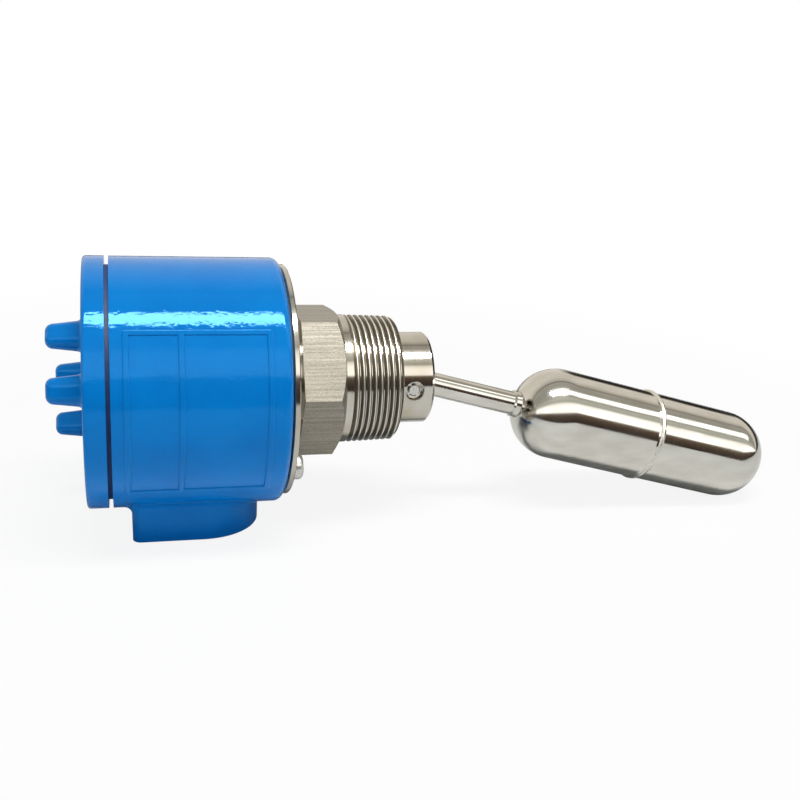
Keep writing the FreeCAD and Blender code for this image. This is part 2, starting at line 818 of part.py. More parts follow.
def make_pivot_washers():
    """Spacers that keep the hub in the middle of the bore."""
    body = new_body("pivot_washers", several=True)
    inner = "hub_half_width + hole_clearance"
    outer = "sqrt(wet_bore_radius ^ 2 - washer_radius ^ 2) - hole_clearance"
    ring = sketch_on(body, "XZ_Plane", offset=inner)
    disc(ring, "0", "0", "washer_radius")
    disc(ring, "0", "0", "pin_radius")
    spacer = pad(body, ring, f"{outer} - ({inner})")
    across_plane(body, [spacer], "XZ_Plane")
    place(body, "pivot_offset")
    return body


# ---------------------------------------------------------------- float arm

def make_arm_hub():
    """The cross hub on the pin with the lever that reaches back to the partition."""
    body = new_body("arm_hub")
    barrel = sketch_on(body, "XZ_Plane")
    disc(barrel, "0", "0", "hub_radius")
    pad(body, barrel, "2 * hub_half_width", both_ways=True)
    lever = sketch_on(body, "YZ_Plane")
    disc(lever, "0", "0", "lever_radius")
    pad(body, lever, "drive_magnet_offset", backwards=True)
    bore = sketch_on(body, "XZ_Plane")
    disc(bore, "0", "0", "pin_radius + running_clearance")
    pocket(body, bore, "3 * hub_half_width", both_ways=True)
    place(body, "pivot_offset", "arm_droop")
    return body


def make_drive_magnet():
    body = new_body("drive_magnet")
    revolve(body, [
        ("-drive_magnet_offset - drive_magnet_length", "0"),
        ("-drive_magnet_offset", "0"),
        ("-drive_magnet_offset", "lever_radius"),
        ("-drive_magnet_offset - drive_magnet_length + magnet_skin", "lever_radius"),
        ("-drive_magnet_offset - drive_magnet_length", "lever_radius - magnet_skin"),
    ])
    place(body, "pivot_offset", "arm_droop")
    return body


def make_float_rod():
    """The rod from the hub into the float; its inner end follows the hub's round side."""
    body = new_body("float_rod")
    sketch = sketch_on(body, "YZ_Plane")
    disc(sketch, "0", "0", "rod_radius")
    pad(body, sketch, "float_offset + rod_socket_depth")
    seat = sketch_on(body, "XZ_Plane")
    disc(seat, "0", "0", "hub_radius")
    pocket(body, seat, "3 * rod_radius", both_ways=True)
    place(body, "pivot_offset", "arm_droop")
    return body


def make_rod_collar():
    body = new_body("rod_collar")
    outer = "rod_radius + rod_collar_thickness"
    seat = f"float_offset + float_radius - sqrt(float_radius ^ 2 - ({outer}) ^ 2)"
    inner_seat = "float_offset + float_radius - sqrt(float_radius ^ 2 - rod_radius ^ 2)"
    revolve(body, [
        ("float_offset - rod_collar_length", "rod_radius"),
        (inner_seat, "rod_radius", "float_radius", -1),
        (seat, outer),
        ("float_offset - rod_collar_length + rod_collar_thickness", outer),
    ])
    place(body, "pivot_offset", "arm_droop")
    return body


def make_float_shell(label, pole, inward, hole):
    """A drawn half shell: a hemisphere and half the barrel; inward points to the seam."""
    body = new_body(label)
    seam = "(float_offset + float_length / 2)"
    barrel = f"({pole} + {inward} * float_radius)"
    inner = "(float_radius - float_wall)"
    if hole == "0":
        outer_pole = pole
        inner_pole = f"{pole} + {inward} * float_wall"
    else:
        outer_pole = f"{barrel} - {inward} * sqrt(float_radius ^ 2 - ({hole}) ^ 2)"
        inner_pole = f"{barrel} - {inward} * sqrt({inner} ^ 2 - ({hole}) ^ 2)"
    revolve(body, [
        (outer_pole, hole, "float_radius", -inward),
        (barrel, "float_radius"),
        (f"{seam} - {inward} * float_lip_width / 2", "float_radius"),
        (seam, "float_radius + float_lip_height"),
        (seam, inner),
        (barrel, inner, inner, inward),
        (inner_pole, hole),
    ])
    place(body, "pivot_offset", "arm_droop")
    return body


# ---------------------------------------------------------------- switch mechanism

def make_switch_bracket():
    """Folded sheet: a flange on the posts and two cheeks for the rocker and the switch."""
    body = new_body("switch_bracket")
    flange = sketch_on(body, "YZ_Plane", offset=BRACKET_BACK)
    outline(flange, [
        (f"-{BRACKET_HALF_WIDTH}", "-bracket_half_height"),
        (BRACKET_HALF_WIDTH, "-bracket_half_height"),
        (BRACKET_HALF_WIDTH, "bracket_half_height"),
        (CHEEK_OUTER, "bracket_half_height"),
        (CHEEK_OUTER, "cheek_top"),
        (f"-{CHEEK_OUTER}", "cheek_top"),
        (f"-{CHEEK_OUTER}", "bracket_half_height"),
        (f"-{BRACKET_HALF_WIDTH}", "bracket_half_height"),
    ])
    pad(body, flange, "bracket_sheet")
    cheek = sketch_on(body, "XZ_Plane", offset="cheek_half_gap")
    rectangle(cheek, f"{BRACKET_BACK} - cheek_length", f"{BRACKET_BACK} + bracket_sheet / 2",
              "-bracket_half_height", "cheek_top")
    side = pad(body, cheek, "bracket_sheet")
    across_plane(body, [side], "XZ_Plane")
    windows = sketch_on(body, "YZ_Plane", offset=POST_TOP)
    disc(windows, "0", "0", "cheek_half_gap")
    disc(windows, f"-{POST_SPACING}", "0", "bracket_screw_radius + hole_clearance")
    disc(windows, POST_SPACING, "0", "bracket_screw_radius + hole_clearance")
    pocket(body, windows, "bracket_sheet")
    holes = sketch_on(body, "XZ_Plane")
    disc(holes, "-rocker_pivot_offset", "0", "rocker_pin_radius")
    for station in (f"{SWITCH_LEFT} + (switch_length - switch_hole_pitch) / 2",
                    f"{SWITCH_RIGHT} - (switch_length - switch_hole_pitch) / 2"):
        disc(holes, station, "switch_lift + switch_hole_lift", "switch_screw_radius")
    pocket(body, holes, f"4 * {CHEEK_OUTER}", both_ways=True)
    return body


def make_bracket_screws():
    body = new_body("bracket_screws", several=True)
    heads = sketch_on(body, "YZ_Plane", offset=BRACKET_BACK)
    stems = sketch_on(body, "YZ_Plane", offset=BRACKET_BACK)
    for across in (f"-{POST_SPACING}", POST_SPACING):
        disc(heads, across, "0", "small_head_radius")
        disc(stems, across, "0", "bracket_screw_radius")
    pad(body, heads, "small_head_height", backwards=True)
    pad(body, stems, "bracket_sheet + small_screw_grip")
    return body


def make_earth_screw():
    body = new_body("earth_screw")
    head = sketch_on(body, "YZ_Plane", offset=f"{POST_TOP} - hole_clearance")
    disc(head, "0", f"-{EARTH_POST_DROP}", "small_head_radius")
    pad(body, head, "small_head_height", backwards=True)
    stem = sketch_on(body, "YZ_Plane", offset=f"{POST_TOP} - hole_clearance")
    disc(stem, "0", f"-{EARTH_POST_DROP}", "bracket_screw_radius")
    pad(body, stem, "small_screw_grip")
    return body


def make_rocker():
    """The lever in the dry bore: a hub, a tail under the plunger and an arm to its magnet."""
    body = new_body("rocker")
    bar = sketch_on(body, "XZ_Plane")
    rectangle(bar, "-rocker_tail", "rocker_magnet_offset", "-rocker_half_height", "rocker_half_height")
    pad(body, bar, "2 * rocker_half_width", both_ways=True)
    hub = sketch_on(body, "XZ_Plane")
    disc(hub, "0", "0", "rocker_hub_radius")
    pad(body, hub, "2 * (cheek_half_gap - hole_clearance)", both_ways=True)
    bore = sketch_on(body, "XZ_Plane")
    disc(bore, "0", "0", "rocker_pin_radius + running_clearance")
    pocket(body, bore, "4 * cheek_half_gap", both_ways=True)
    place(body, "-rocker_pivot_offset", "-rocker_tilt")
    return body


def make_rocker_magnet():
    body = new_body("rocker_magnet")
    sketch = sketch_on(body, "YZ_Plane", offset="rocker_magnet_offset")
    disc(sketch, "0", "0", "rocker_magnet_radius")
    pad(body, sketch, "rocker_magnet_length")
    place(body, "-rocker_pivot_offset", "-rocker_tilt")
    return body


def make_rocker_pin():
    body = new_body("rocker_pin")
    sketch = sketch_on(body, "XZ_Plane")
    disc(sketch, "0", "0", "rocker_pin_radius")
    pad(body, sketch, f"2 * ({CHEEK_OUTER} + bracket_sheet / 2)", both_ways=True)
    place(body, "-rocker_pivot_offset")
    return body


def make_microswitch():
    body = new_body("microswitch")
    block = sketch_on(body, "XZ_Plane")
    rectangle(block, SWITCH_LEFT, SWITCH_RIGHT, "switch_lift", "switch_lift + switch_height")
    pad(body, block, "switch_thickness", both_ways=True)
    holes = sketch_on(body, "XZ_Plane")
    for station in (f"{SWITCH_LEFT} + (switch_length - switch_hole_pitch) / 2",
                    f"{SWITCH_RIGHT} - (switch_length - switch_hole_pitch) / 2"):
        disc(holes, station, "switch_lift + switch_hole_lift", "switch_screw_radius")
    pocket(body, holes, "2 * switch_thickness", both_ways=True)
    guide = sketch_on(body, "XY_Plane", offset="switch_lift")
    disc(guide, PLUNGER_X, "0", "plunger_radius + running_clearance")
    pocket(body, guide, "plunger_depth + 2 * plunger_radius", backwards=True)
    return body


def make_plunger():
    """The button under the microswitch: a pin with a domed tip on the rocker's tail."""
    body = new_body("switch_plunger")
    tip = "rocker_half_height / cos(rocker_tilt) - plunger_arm * tan(rocker_tilt) + plunger_gap"
    sketch = sketch_on(body, "XZ_Plane")
    outline(sketch, [
        ("0", tip, "plunger_radius", 1),
        ("plunger_radius", f"{tip} + plunger_radius"),
        ("plunger_radius", "switch_lift + plunger_depth"),
        ("0", "switch_lift + plunger_depth"),
    ])
    spin(body, "Revolution", sketch, axis="V_Axis")
    place(body, PLUNGER_X)
    return body


def make_switch_screws():
    body = new_body("switch_screws", several=True)
    head = sketch_on(body, "XZ_Plane", offset=CHEEK_OUTER)
    stem = sketch_on(body, "XZ_Plane", offset=CHEEK_OUTER)
    for station in (f"{SWITCH_LEFT} + (switch_length - switch_hole_pitch) / 2",
                    f"{SWITCH_RIGHT} - (switch_length - switch_hole_pitch) / 2"):
        disc(head, station, "switch_lift + switch_hole_lift", "switch_screw_radius * 1.9")
        disc(stem, station, "switch_lift + switch_hole_lift", "switch_screw_radius")
    pad(body, head, "small_head_height")
    pad(body, stem, f"2 * {CHEEK_OUTER}", backwards=True)
    return body


def make_switch_blades():
    """Three push-on tabs standing on the microswitch."""
    body = new_body("switch_blades", several=True)
    sketch = sketch_on(body, "XY_Plane", offset="switch_lift + switch_height")
    for step in (-1, 0, 1):
        centre = f"({SWITCH_LEFT} + {SWITCH_RIGHT}) / 2 + {step} * blade_pitch"
        rectangle(sketch, f"{centre} - blade_width / 2", f"{centre} + blade_width / 2",
                  "-blade_thickness / 2", "blade_thickness / 2")
    pad(body, sketch, "blade_height")
    return body


def make_terminal_block():
    """A three-way strip on the bracket's cheek, open towards the cover."""
    body = new_body("terminal_block")
    block = sketch_on(body, "YZ_Plane", offset=TERMINAL_FACE)
    rectangle(block, CHEEK_OUTER, f"{CHEEK_OUTER} + terminal_width",
              "-terminal_half_height", "terminal_half_height")
    pad(body, block, "terminal_depth")
    slots = sketch_on(body, "YZ_Plane", offset=TERMINAL_FACE)
    for step in (-1, 0, 1):
        rectangle(slots, f"{CHEEK_OUTER} + 2", f"{CHEEK_OUTER} + terminal_width + 1",
                  f"{step} * terminal_pitch - terminal_slot / 2",
                  f"{step} * terminal_pitch + terminal_slot / 2")
    pocket(body, slots, "terminal_slot_depth", backwards=True)
    return body


def make_terminal_screws():
    body = new_body("terminal_screws", several=True)
    seat = f"{TERMINAL_FACE} + terminal_slot_depth"
    heads = sketch_on(body, "YZ_Plane", offset=seat)
    for step in (-1, 0, 1):
        disc(heads, f"{CHEEK_OUTER} + terminal_width / 2", f"{step} * terminal_pitch",
             "terminal_head_radius")
    pad(body, heads, "terminal_head_height", backwards=True)
    return body


# ---------------------------------------------------------------- the document

def make_all():
    front = "(float_offset + float_length)"
    return [
        make_housing(),
        make_cover(),
        make_cover_seal(),
        make_mounting_plate(),
        make_plate_gasket(),
        make_plate_screws(),
        make_hex_nipple(),
        make_lock_nut(),
        make_pivot_pin(),
        make_pivot_clips(),
        make_pivot_washers(),
        make_arm_hub(),
        make_drive_magnet(),
        make_float_rod(),
        make_rod_collar(),
        make_float_shell("float_rear_shell", "float_offset", 1, "rod_radius"),
        make_float_shell("float_front_shell", front, -1, "0"),
        make_switch_bracket(),
        make_bracket_screws(),
        make_earth_screw(),
        make_rocker(),
        make_rocker_magnet(),
        make_rocker_pin(),
        make_microswitch(),
        make_plunger(),
        make_switch_screws(),
        make_switch_blades(),
        make_terminal_block(),
        make_terminal_screws(),
    ]


def check(nodes):
    for item in doc.Objects:
        if "Invalid" in item.State or "Error" in item.State:
            raise ValueError(f"{item.Label}: {item.State}")
    for node in nodes:
        if node.Shape.isNull() or not node.Shape.isValid():
            raise ValueError(f"{node.Label} has no valid shape")


def write(nodes):
    os.makedirs("parts", exist_ok=True)
    for node in nodes:
        node.Shape.exportStep(f"parts/{node.Label}.step")


fill_sheet()
nodes = make_all()
doc.recompute()
check(nodes)
write(nodes)
print(f"{len(nodes)} nodes written")
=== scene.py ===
import bpy
import json
import math
from mathutils import Matrix, Vector


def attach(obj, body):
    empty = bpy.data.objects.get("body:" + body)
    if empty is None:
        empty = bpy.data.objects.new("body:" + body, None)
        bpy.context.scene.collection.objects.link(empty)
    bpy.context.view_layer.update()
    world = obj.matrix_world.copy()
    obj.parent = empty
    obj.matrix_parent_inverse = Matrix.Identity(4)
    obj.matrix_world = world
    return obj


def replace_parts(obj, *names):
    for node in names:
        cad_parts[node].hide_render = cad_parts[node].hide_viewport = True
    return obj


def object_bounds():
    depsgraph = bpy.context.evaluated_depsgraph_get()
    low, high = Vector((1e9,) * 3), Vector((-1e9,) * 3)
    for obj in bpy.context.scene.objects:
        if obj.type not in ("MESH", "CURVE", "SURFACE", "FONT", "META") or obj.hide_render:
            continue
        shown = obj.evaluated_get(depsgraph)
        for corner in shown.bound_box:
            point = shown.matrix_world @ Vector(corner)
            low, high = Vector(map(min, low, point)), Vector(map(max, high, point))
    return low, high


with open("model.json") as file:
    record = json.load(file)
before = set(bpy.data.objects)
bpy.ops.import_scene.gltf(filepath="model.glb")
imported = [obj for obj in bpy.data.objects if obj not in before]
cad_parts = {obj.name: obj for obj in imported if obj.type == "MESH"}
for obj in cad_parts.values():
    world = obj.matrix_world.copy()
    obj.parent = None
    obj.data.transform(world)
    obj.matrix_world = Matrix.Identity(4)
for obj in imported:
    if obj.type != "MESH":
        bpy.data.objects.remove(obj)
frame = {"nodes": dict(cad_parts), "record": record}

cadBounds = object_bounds()
nodes = frame["nodes"]
mm = 0.001
mergeReach = 0.002 * mm


# Materials: colours are written as they look, and patterns run on Object coordinates in real millimetres.
# The numbers after a pattern's size are its detail and an offset that keeps it apart from its neighbours.

def toLinear(hexColour):
    channels = [int(hexColour[i:i + 2], 16) / 255 for i in (1, 3, 5)]
    return tuple(c / 12.92 if c <= 0.04045 else ((c + 0.055) / 1.055) ** 2.4 for c in channels) + (1.0,)


def addNode(tree, kind, inputs=None, **settings):
    # an input given as another node's socket is linked, anything else is set on the socket
    node = tree.nodes.new(kind)
    for name, value in settings.items():
        setattr(node, name, value)
    for name, value in (inputs or {}).items():
        if isinstance(value, bpy.types.NodeSocket):
            tree.links.new(value, node.inputs[name])
        else:
            node.inputs[name].default_value = value
    return node


def startMaterial(name):
    material = bpy.data.materials.new(name)
    material.use_nodes = True
    material.node_tree.nodes.clear()
    tree = material.node_tree
    return material, tree, addNode(tree, "ShaderNodeTexCoord").outputs["Object"]


def endMaterial(tree, surface):
    addNode(tree, "ShaderNodeOutputMaterial", {"Surface": surface.outputs[0]})


def grain(tree, place, sizes, detail=2.0, offset=0.0):
    # noise with its own grain size along X, Y and Z, in metres
    stretched = addNode(tree, "ShaderNodeMapping", {
        "Vector": place, "Location": (offset, offset, offset), "Scale": tuple(1 / s for s in sizes)})
    return addNode(tree, "ShaderNodeTexNoise", {
        "Vector": stretched.outputs[0], "Scale": 1.0, "Detail": detail}).outputs["Fac"]


def spread(tree, factor, low, high, fromLow=0.3, fromHigh=0.7):
    return addNode(tree, "ShaderNodeMapRange", {
        "Value": factor, "From Min": fromLow, "From Max": fromHigh,
        "To Min": low, "To Max": high}).outputs[0]


def tinted(tree, factor, first, second):
    mix = addNode(tree, "ShaderNodeMix", data_type="RGBA")
    tree.links.new(factor, mix.inputs["Factor"])
    mix.inputs[6].default_value = toLinear(first)
    mix.inputs[7].default_value = toLinear(second)
    return mix.outputs[2]


def relief(tree, height, depth, under=None):
    inputs = {"Height": height, "Distance": depth, "Strength": 1.0}
    if under is not None:
        inputs["Normal"] = under
    return addNode(tree, "ShaderNodeBump", inputs).outputs[0]


blueEnamelLook = {
    "colour": "#0464A7",
    "thinColour": "#046AAD",
    "shine": "#7CCFFF",
    "patch": (18 * mm,) * 3,
    "ripple": (6 * mm,) * 3,
    "rippleDepth": 0.1 * mm,
    "peel": (1.1 * mm,) * 3,
    "peelDepth": 0.042 * mm,
    "gloss": (0.03, 0.06),
}


def makeBlueEnamel():
    # thick stove enamel over a sand casting: wet blue gloss, with a ripple and peel that fray highlights
    look = blueEnamelLook
    material, tree, place = startMaterial("blueStoveEnamel")
    patch = grain(tree, place, look["patch"])
    ripple = grain(tree, place, look["ripple"], 1.0)
    peel = grain(tree, place, look["peel"], 1.0, 3.0)
    surface = relief(tree, peel, look["peelDepth"], relief(tree, ripple, look["rippleDepth"]))
    shader = addNode(tree, "ShaderNodeBsdfPrincipled", {
        "Base Color": tinted(tree, spread(tree, patch, 0, 1), look["colour"], look["thinColour"]),
        "Roughness": spread(tree, peel, *look["gloss"]), "IOR": 1.5,
        "Specular Tint": toLinear(look["shine"]), "Normal": surface})
    endMaterial(tree, shader)
    return material


turnedSteelLook = {
    "colour": "#C9C5BD",
    "warmColour": "#B9B0A2",
    "tool": (0.09 * mm, 40 * mm, 40 * mm),
    "toolDepth": 0.0022 * mm,
    "cloud": (9 * mm, 14 * mm, 14 * mm),
    "roughness": (0.09, 0.15),
}


def makeTurnedSteel():
    # stainless bar off the lathe: close rings round the axis, warm and cool patches
    look = turnedSteelLook
    material, tree, place = startMaterial("turnedStainless")
    rings = grain(tree, place, look["tool"], 3.0)
    cloud = grain(tree, place, look["cloud"])
    shader = addNode(tree, "ShaderNodeBsdfPrincipled", {
        "Base Color": tinted(tree, spread(tree, cloud, 0, 1), look["colour"], look["warmColour"]),
        "Metallic": 1.0, "Roughness": spread(tree, rings, *look["roughness"]),
        "Normal": relief(tree, rings, look["toolDepth"])})
    endMaterial(tree, shader)
    return material


cutThreadLook = {
    # the crest colour is a painted highlight, the flank colour is painted shade in the thread's grooves
    "crestHighlightColour": "#E4E0D6",
    "flankShadeColour": "#8C867B",
    "crestRadius": 24.15 * mm,
    "taper": 0.03125,
    "crestBand": (0.32 * mm, 0.05 * mm),
    "tear": (0.5 * mm,) * 3,
    "tearDepth": 0.012 * mm,
    "roughness": (0.26, 0.42),
}


def makeCutThread():
    # pipe thread: the crests are painted paler as a highlight and the flanks painted darker as shade in the
    # grooves; the flanks are torn by the die
    look = cutThreadLook
    material, tree, place = startMaterial("cutPipeThread")
    parts = addNode(tree, "ShaderNodeSeparateXYZ", {"Vector": place})
    across = addNode(tree, "ShaderNodeCombineXYZ", {"Y": parts.outputs["Y"], "Z": parts.outputs["Z"]})
    reach = addNode(tree, "ShaderNodeVectorMath", {0: across.outputs[0]}, operation="LENGTH")
    level = addNode(tree, "ShaderNodeMath", {
        0: parts.outputs["X"], 1: look["taper"], 2: reach.outputs["Value"]},
        operation="MULTIPLY_ADD").outputs[0]
    foot, top = (look["crestRadius"] - depth for depth in look["crestBand"])
    # painted light: by radius, the outer band of the thread gets the painted crest highlight and the rest
    # gets the painted groove shade
    crest = spread(tree, level, 0, 1, foot, top)
    tear = grain(tree, place, look["tear"], 3.0)
    shader = addNode(tree, "ShaderNodeBsdfPrincipled", {
        "Base Color": tinted(tree, crest, look["flankShadeColour"], look["crestHighlightColour"]), "Metallic": 1.0,
        "Roughness": spread(tree, tear, *look["roughness"]),
        "Normal": relief(tree, tear, look["tearDepth"])})
    endMaterial(tree, shader)
    return material


milledSteelLook = {
    "colour": "#7F7A70",
    "paleColour": "#9C968B",
    "scratch": (26 * mm, 0.22 * mm, 0.22 * mm),
    "longScratch": (60 * mm, 0.9 * mm, 0.9 * mm),
    "scratchDepth": 0.03 * mm,
    "speck": (0.5 * mm,) * 3,
    "mottleRange": (0.8, 1.2),
    "roughness": (0.27, 0.37),
}


def makeMilledSteel():
    # wrench flats cut from hexagon bar: satin drawn skin with scratches along the bar and pale specks
    look = milledSteelLook
    material, tree, place = startMaterial("milledStainless")
    fine = grain(tree, place, look["scratch"], 3.0)
    broad = grain(tree, place, look["longScratch"], 2.0, 7.0)
    speck = grain(tree, place, look["speck"], 2.0, 11.0)
    lines = addNode(tree, "ShaderNodeMath", {0: fine, 1: broad}, operation="MULTIPLY").outputs[0]
    mottled = addNode(tree, "ShaderNodeMath", {0: broad, 1: speck}, operation="ADD").outputs[0]
    tone = spread(tree, mottled, 0, 1, *look["mottleRange"])
    shader = addNode(tree, "ShaderNodeBsdfPrincipled", {
        "Base Color": tinted(tree, tone, look["colour"], look["paleColour"]),
        "Metallic": 1.0, "Roughness": spread(tree, fine, *look["roughness"]),
        "Normal": relief(tree, lines, look["scratchDepth"])})
    endMaterial(tree, shader)
    return material


polishedSteelLook = {
    "colour": "#D9D6D0",
    "hazeColour": "#C8C4BC",
    "wobble": (25.6 * mm, 16 * mm, 16 * mm),
    "wobbleDepth": 0.10 * mm,
    "haze": (14 * mm, 5 * mm, 5 * mm),
    "scratch": (9 * mm, 0.12 * mm, 0.12 * mm),
    "scratchDepth": 0.0006 * mm,
    "roughness": (0.06, 0.15),
}


def makePolishedSteel():
    # buffed deep-drawn stainless: near mirror, slightly wavy, with faint haze and hairline scratches
    look = polishedSteelLook
    material, tree, place = startMaterial("polishedStainless")
    wobble = grain(tree, place, look["wobble"], 1.0)
    haze = grain(tree, place, look["haze"], 4.0, 5.0)
    hairline = grain(tree, place, look["scratch"], 2.0, 9.0)
    surface = relief(tree, hairline, look["scratchDepth"], relief(tree, wobble, look["wobbleDepth"]))
    shader = addNode(tree, "ShaderNodeBsdfPrincipled", {
        "Base Color": tinted(tree, spread(tree, haze, 0, 1), look["colour"], look["hazeColour"]),
        "Metallic": 1.0, "Roughness": spread(tree, haze, *look["roughness"]), "Normal": surface})
    endMaterial(tree, shader)
    return material


def markedMetal(tree, marks, look):
    # one pattern drives colour, roughness and relief
    return addNode(tree, "ShaderNodeBsdfPrincipled", {
        "Base Color": tinted(tree, spread(tree, marks, 0, 1), look["colour"], look["paleColour"]),
        "Metallic": 1.0, "Roughness": spread(tree, marks, *look["roughness"]),
        "Normal": relief(tree, marks, look["depth"])})


weldBeadLook = {
    "colour": "#CFCBC3", "paleColour": "#E9E6DF",
    "ripples": (0.7 * mm,) * 3, "depth": 0.05 * mm, "roughness": (0.24, 0.38),
}


def makeWeldBead():
    # laid weld bead: pale dull silver with close ripples, the line that breaks the mirror
    material, tree, place = startMaterial("weldBeadSteel")
    ripples = grain(tree, place, weldBeadLook["ripples"], 3.0)
    endMaterial(tree, markedMetal(tree, ripples, weldBeadLook))
    return material


screwSteelLook = {
    "colour": "#C4C3BF", "paleColour": "#D6D5D1",
    "marks": (0.35 * mm,) * 3, "depth": 0.006 * mm, "roughness": (0.2, 0.34),
}


def makeScrewSteel():
    # cold-headed stainless screws and pins: bright satin with tumbling marks
    material, tree, place = startMaterial("tumbledScrewSteel")
    marks = grain(tree, place, screwSteelLook["marks"], 3.0)
    endMaterial(tree, markedMetal(tree, marks, screwSteelLook))
    return material


magnetJacketLook = {
    "colour": "#9C9D9E", "paleColour": "#B0B1B2",
    "lines": (6 * mm, 0.15 * mm, 0.15 * mm), "depth": 0.002 * mm, "roughness": (0.3, 0.42),
}


def makeMagnetJacket():
    # thin drawn steel jacket round a magnet: even satin with faint draw lines
    material, tree, place = startMaterial("magnetJacketSteel")
    lines = grain(tree, place, magnetJacketLook["lines"], 2.0)
    endMaterial(tree, markedMetal(tree, lines, magnetJacketLook))
    return material


zincSheetLook = {
    "colour": "#B4B8B6", "paleColour": "#C6CAC8",
    "spangle": 1.6 * mm, "depth": 0.001 * mm, "roughness": (0.28, 0.42),
}


def makeZincSheet():
    # bright zinc plate on folded sheet: cool grey with small spangle
    look = zincSheetLook
    material, tree, place = startMaterial("zincPlatedSheet")
    spangle = addNode(tree, "ShaderNodeTexVoronoi", {"Vector": place, "Scale": 1 / look["spangle"]})
    tone = addNode(tree, "ShaderNodeRGBToBW", {"Color": spangle.outputs["Color"]}).outputs[0]
    shader = addNode(tree, "ShaderNodeBsdfPrincipled", {
        "Base Color": tinted(tree, tone, look["colour"], look["paleColour"]), "Metallic": 1.0,
        "Roughness": spread(tree, tone, *look["roughness"], 0, 1),
        "Normal": relief(tree, tone, look["depth"])})
    endMaterial(tree, shader)
    return material


yellowMetalLook = {"marks": (0.12 * mm, 3 * mm, 3 * mm), "markDepth": 0.002 * mm, "tarnish": (4 * mm,) * 3}


def makeYellowMetal(name, dark, bright, roughness):
    # brass turned or stamped: warm, with fine ring marks and slow tarnish
    look = yellowMetalLook
    material, tree, place = startMaterial(name)
    marks = grain(tree, place, look["marks"], 2.0)
    tarnish = grain(tree, place, look["tarnish"])
    shader = addNode(tree, "ShaderNodeBsdfPrincipled", {
        "Base Color": tinted(tree, spread(tree, tarnish, 0, 1), dark, bright), "Metallic": 1.0,
        "Roughness": spread(tree, marks, *roughness), "Normal": relief(tree, marks, look["markDepth"])})
    endMaterial(tree, shader)
    return material


rubberLook = {
    "bloom": (3 * mm,) * 3, "pores": (0.25 * mm,) * 3, "poreDepth": 0.01 * mm, "roughness": (0.55, 0.72),
}


def makeRubber(name, dark, dusty):
    # moulded rubber: dark and dull, with a dusty bloom
    look = rubberLook
    material, tree, place = startMaterial(name)
    bloom = grain(tree, place, look["bloom"], 4.0)
    pores = grain(tree, place, look["pores"], 2.0, 2.0)
    shader = addNode(tree, "ShaderNodeBsdfPrincipled", {
        "Base Color": tinted(tree, spread(tree, bloom, 0, 1), dark, dusty), "IOR": 1.5,
        "Roughness": spread(tree, pores, *look["roughness"]),
        "Normal": relief(tree, pores, look["poreDepth"])})
    endMaterial(tree, shader)
    return material


plasticLook = {"flow": (6 * mm,) * 3, "sparkDepth": 0.006 * mm}


def makeMouldedPlastic(name, colour, shade, roughness, spark):
    # injection-moulded plastic: spark-eroded skin and slight flow shading
    look = plasticLook
    material, tree, place = startMaterial(name)
    flow = grain(tree, place, look["flow"])
    skin = grain(tree, place, (spark,) * 3, 2.0, 4.0)
    shader = addNode(tree, "ShaderNodeBsdfPrincipled", {
        "Base Color": tinted(tree, spread(tree, flow, 0, 1), colour, shade), "IOR": 1.5,
        "Roughness": spread(tree, skin, *roughness), "Normal": relief(tree, skin, look["sparkDepth"])})
    endMaterial(tree, shader)
    return material


finishes = {
    "blue_enamel": makeBlueEnamel(),
    # the seal's navy tones are matched to the shaded gap between cover and housing: the rubber's own dark
    # colour with painted shade in it
    "seal_rubber": makeRubber("navySealRubberAndGapShade", "#073566", "#0B4078"),
    "gasket_rubber": makeRubber("blackGasketRubber", "#111111", "#232323"),
    "turned_stainless": makeTurnedSteel(),
    "polished_stainless": makePolishedSteel(),
    "screw_steel": makeScrewSteel(),
    "magnet_jacket": makeMagnetJacket(),
    "white_ptfe": makeMouldedPlastic("whitePtfe", "#E4E4DF", "#D6D6D0", (0.35, 0.5), 0.4 * mm),
    "zinc_sheet": makeZincSheet(),
    "black_phenolic": makeMouldedPlastic("blackPhenolic", "#161514", "#242220", (0.3, 0.45), 0.3 * mm),
    "red_nylon": makeMouldedPlastic("redNylon", "#9A1812", "#B0241B", (0.3, 0.42), 0.3 * mm),
    "tinned_brass": makeYellowMetal("tinnedBrass", "#BFB48F", "#D3CBAB", (0.2, 0.3)),
    "cream_nylon": makeMouldedPlastic("creamNylon", "#D9D0B8", "#CBC1A6", (0.35, 0.5), 0.35 * mm),
    "rocker_brass": makeYellowMetal("machinedBrass", "#B8924A", "#CDA85E", (0.22, 0.34)),
}
milledSteel = makeMilledSteel()
cutThread = makeCutThread()
slotOf = {part["node"]: part["material_slot"] for part in frame["record"]["subparts"]}
for name, node in nodes.items():
    node.data.materials.clear()
    node.data.materials.append(finishes[slotOf[name]])
print("finishes made and given to", len(nodes), "nodes")


# Modelling helpers

def deselect():
    if bpy.context.object and bpy.context.object.mode != "OBJECT":
        bpy.ops.object.mode_set(mode="OBJECT")
    bpy.ops.object.select_all(action="DESELECT")


def pick(piece):
    deselect()
    piece.select_set(True)
    bpy.context.view_layer.objects.active = piece


def closeMesh(piece):
    pick(piece)
    bpy.ops.object.mode_set(mode="EDIT")
    bpy.ops.mesh.select_all(action="SELECT")
    bpy.ops.mesh.remove_doubles(threshold=mergeReach)
    bpy.ops.mesh.normals_make_consistent(inside=False)
    bpy.ops.object.mode_set(mode="OBJECT")


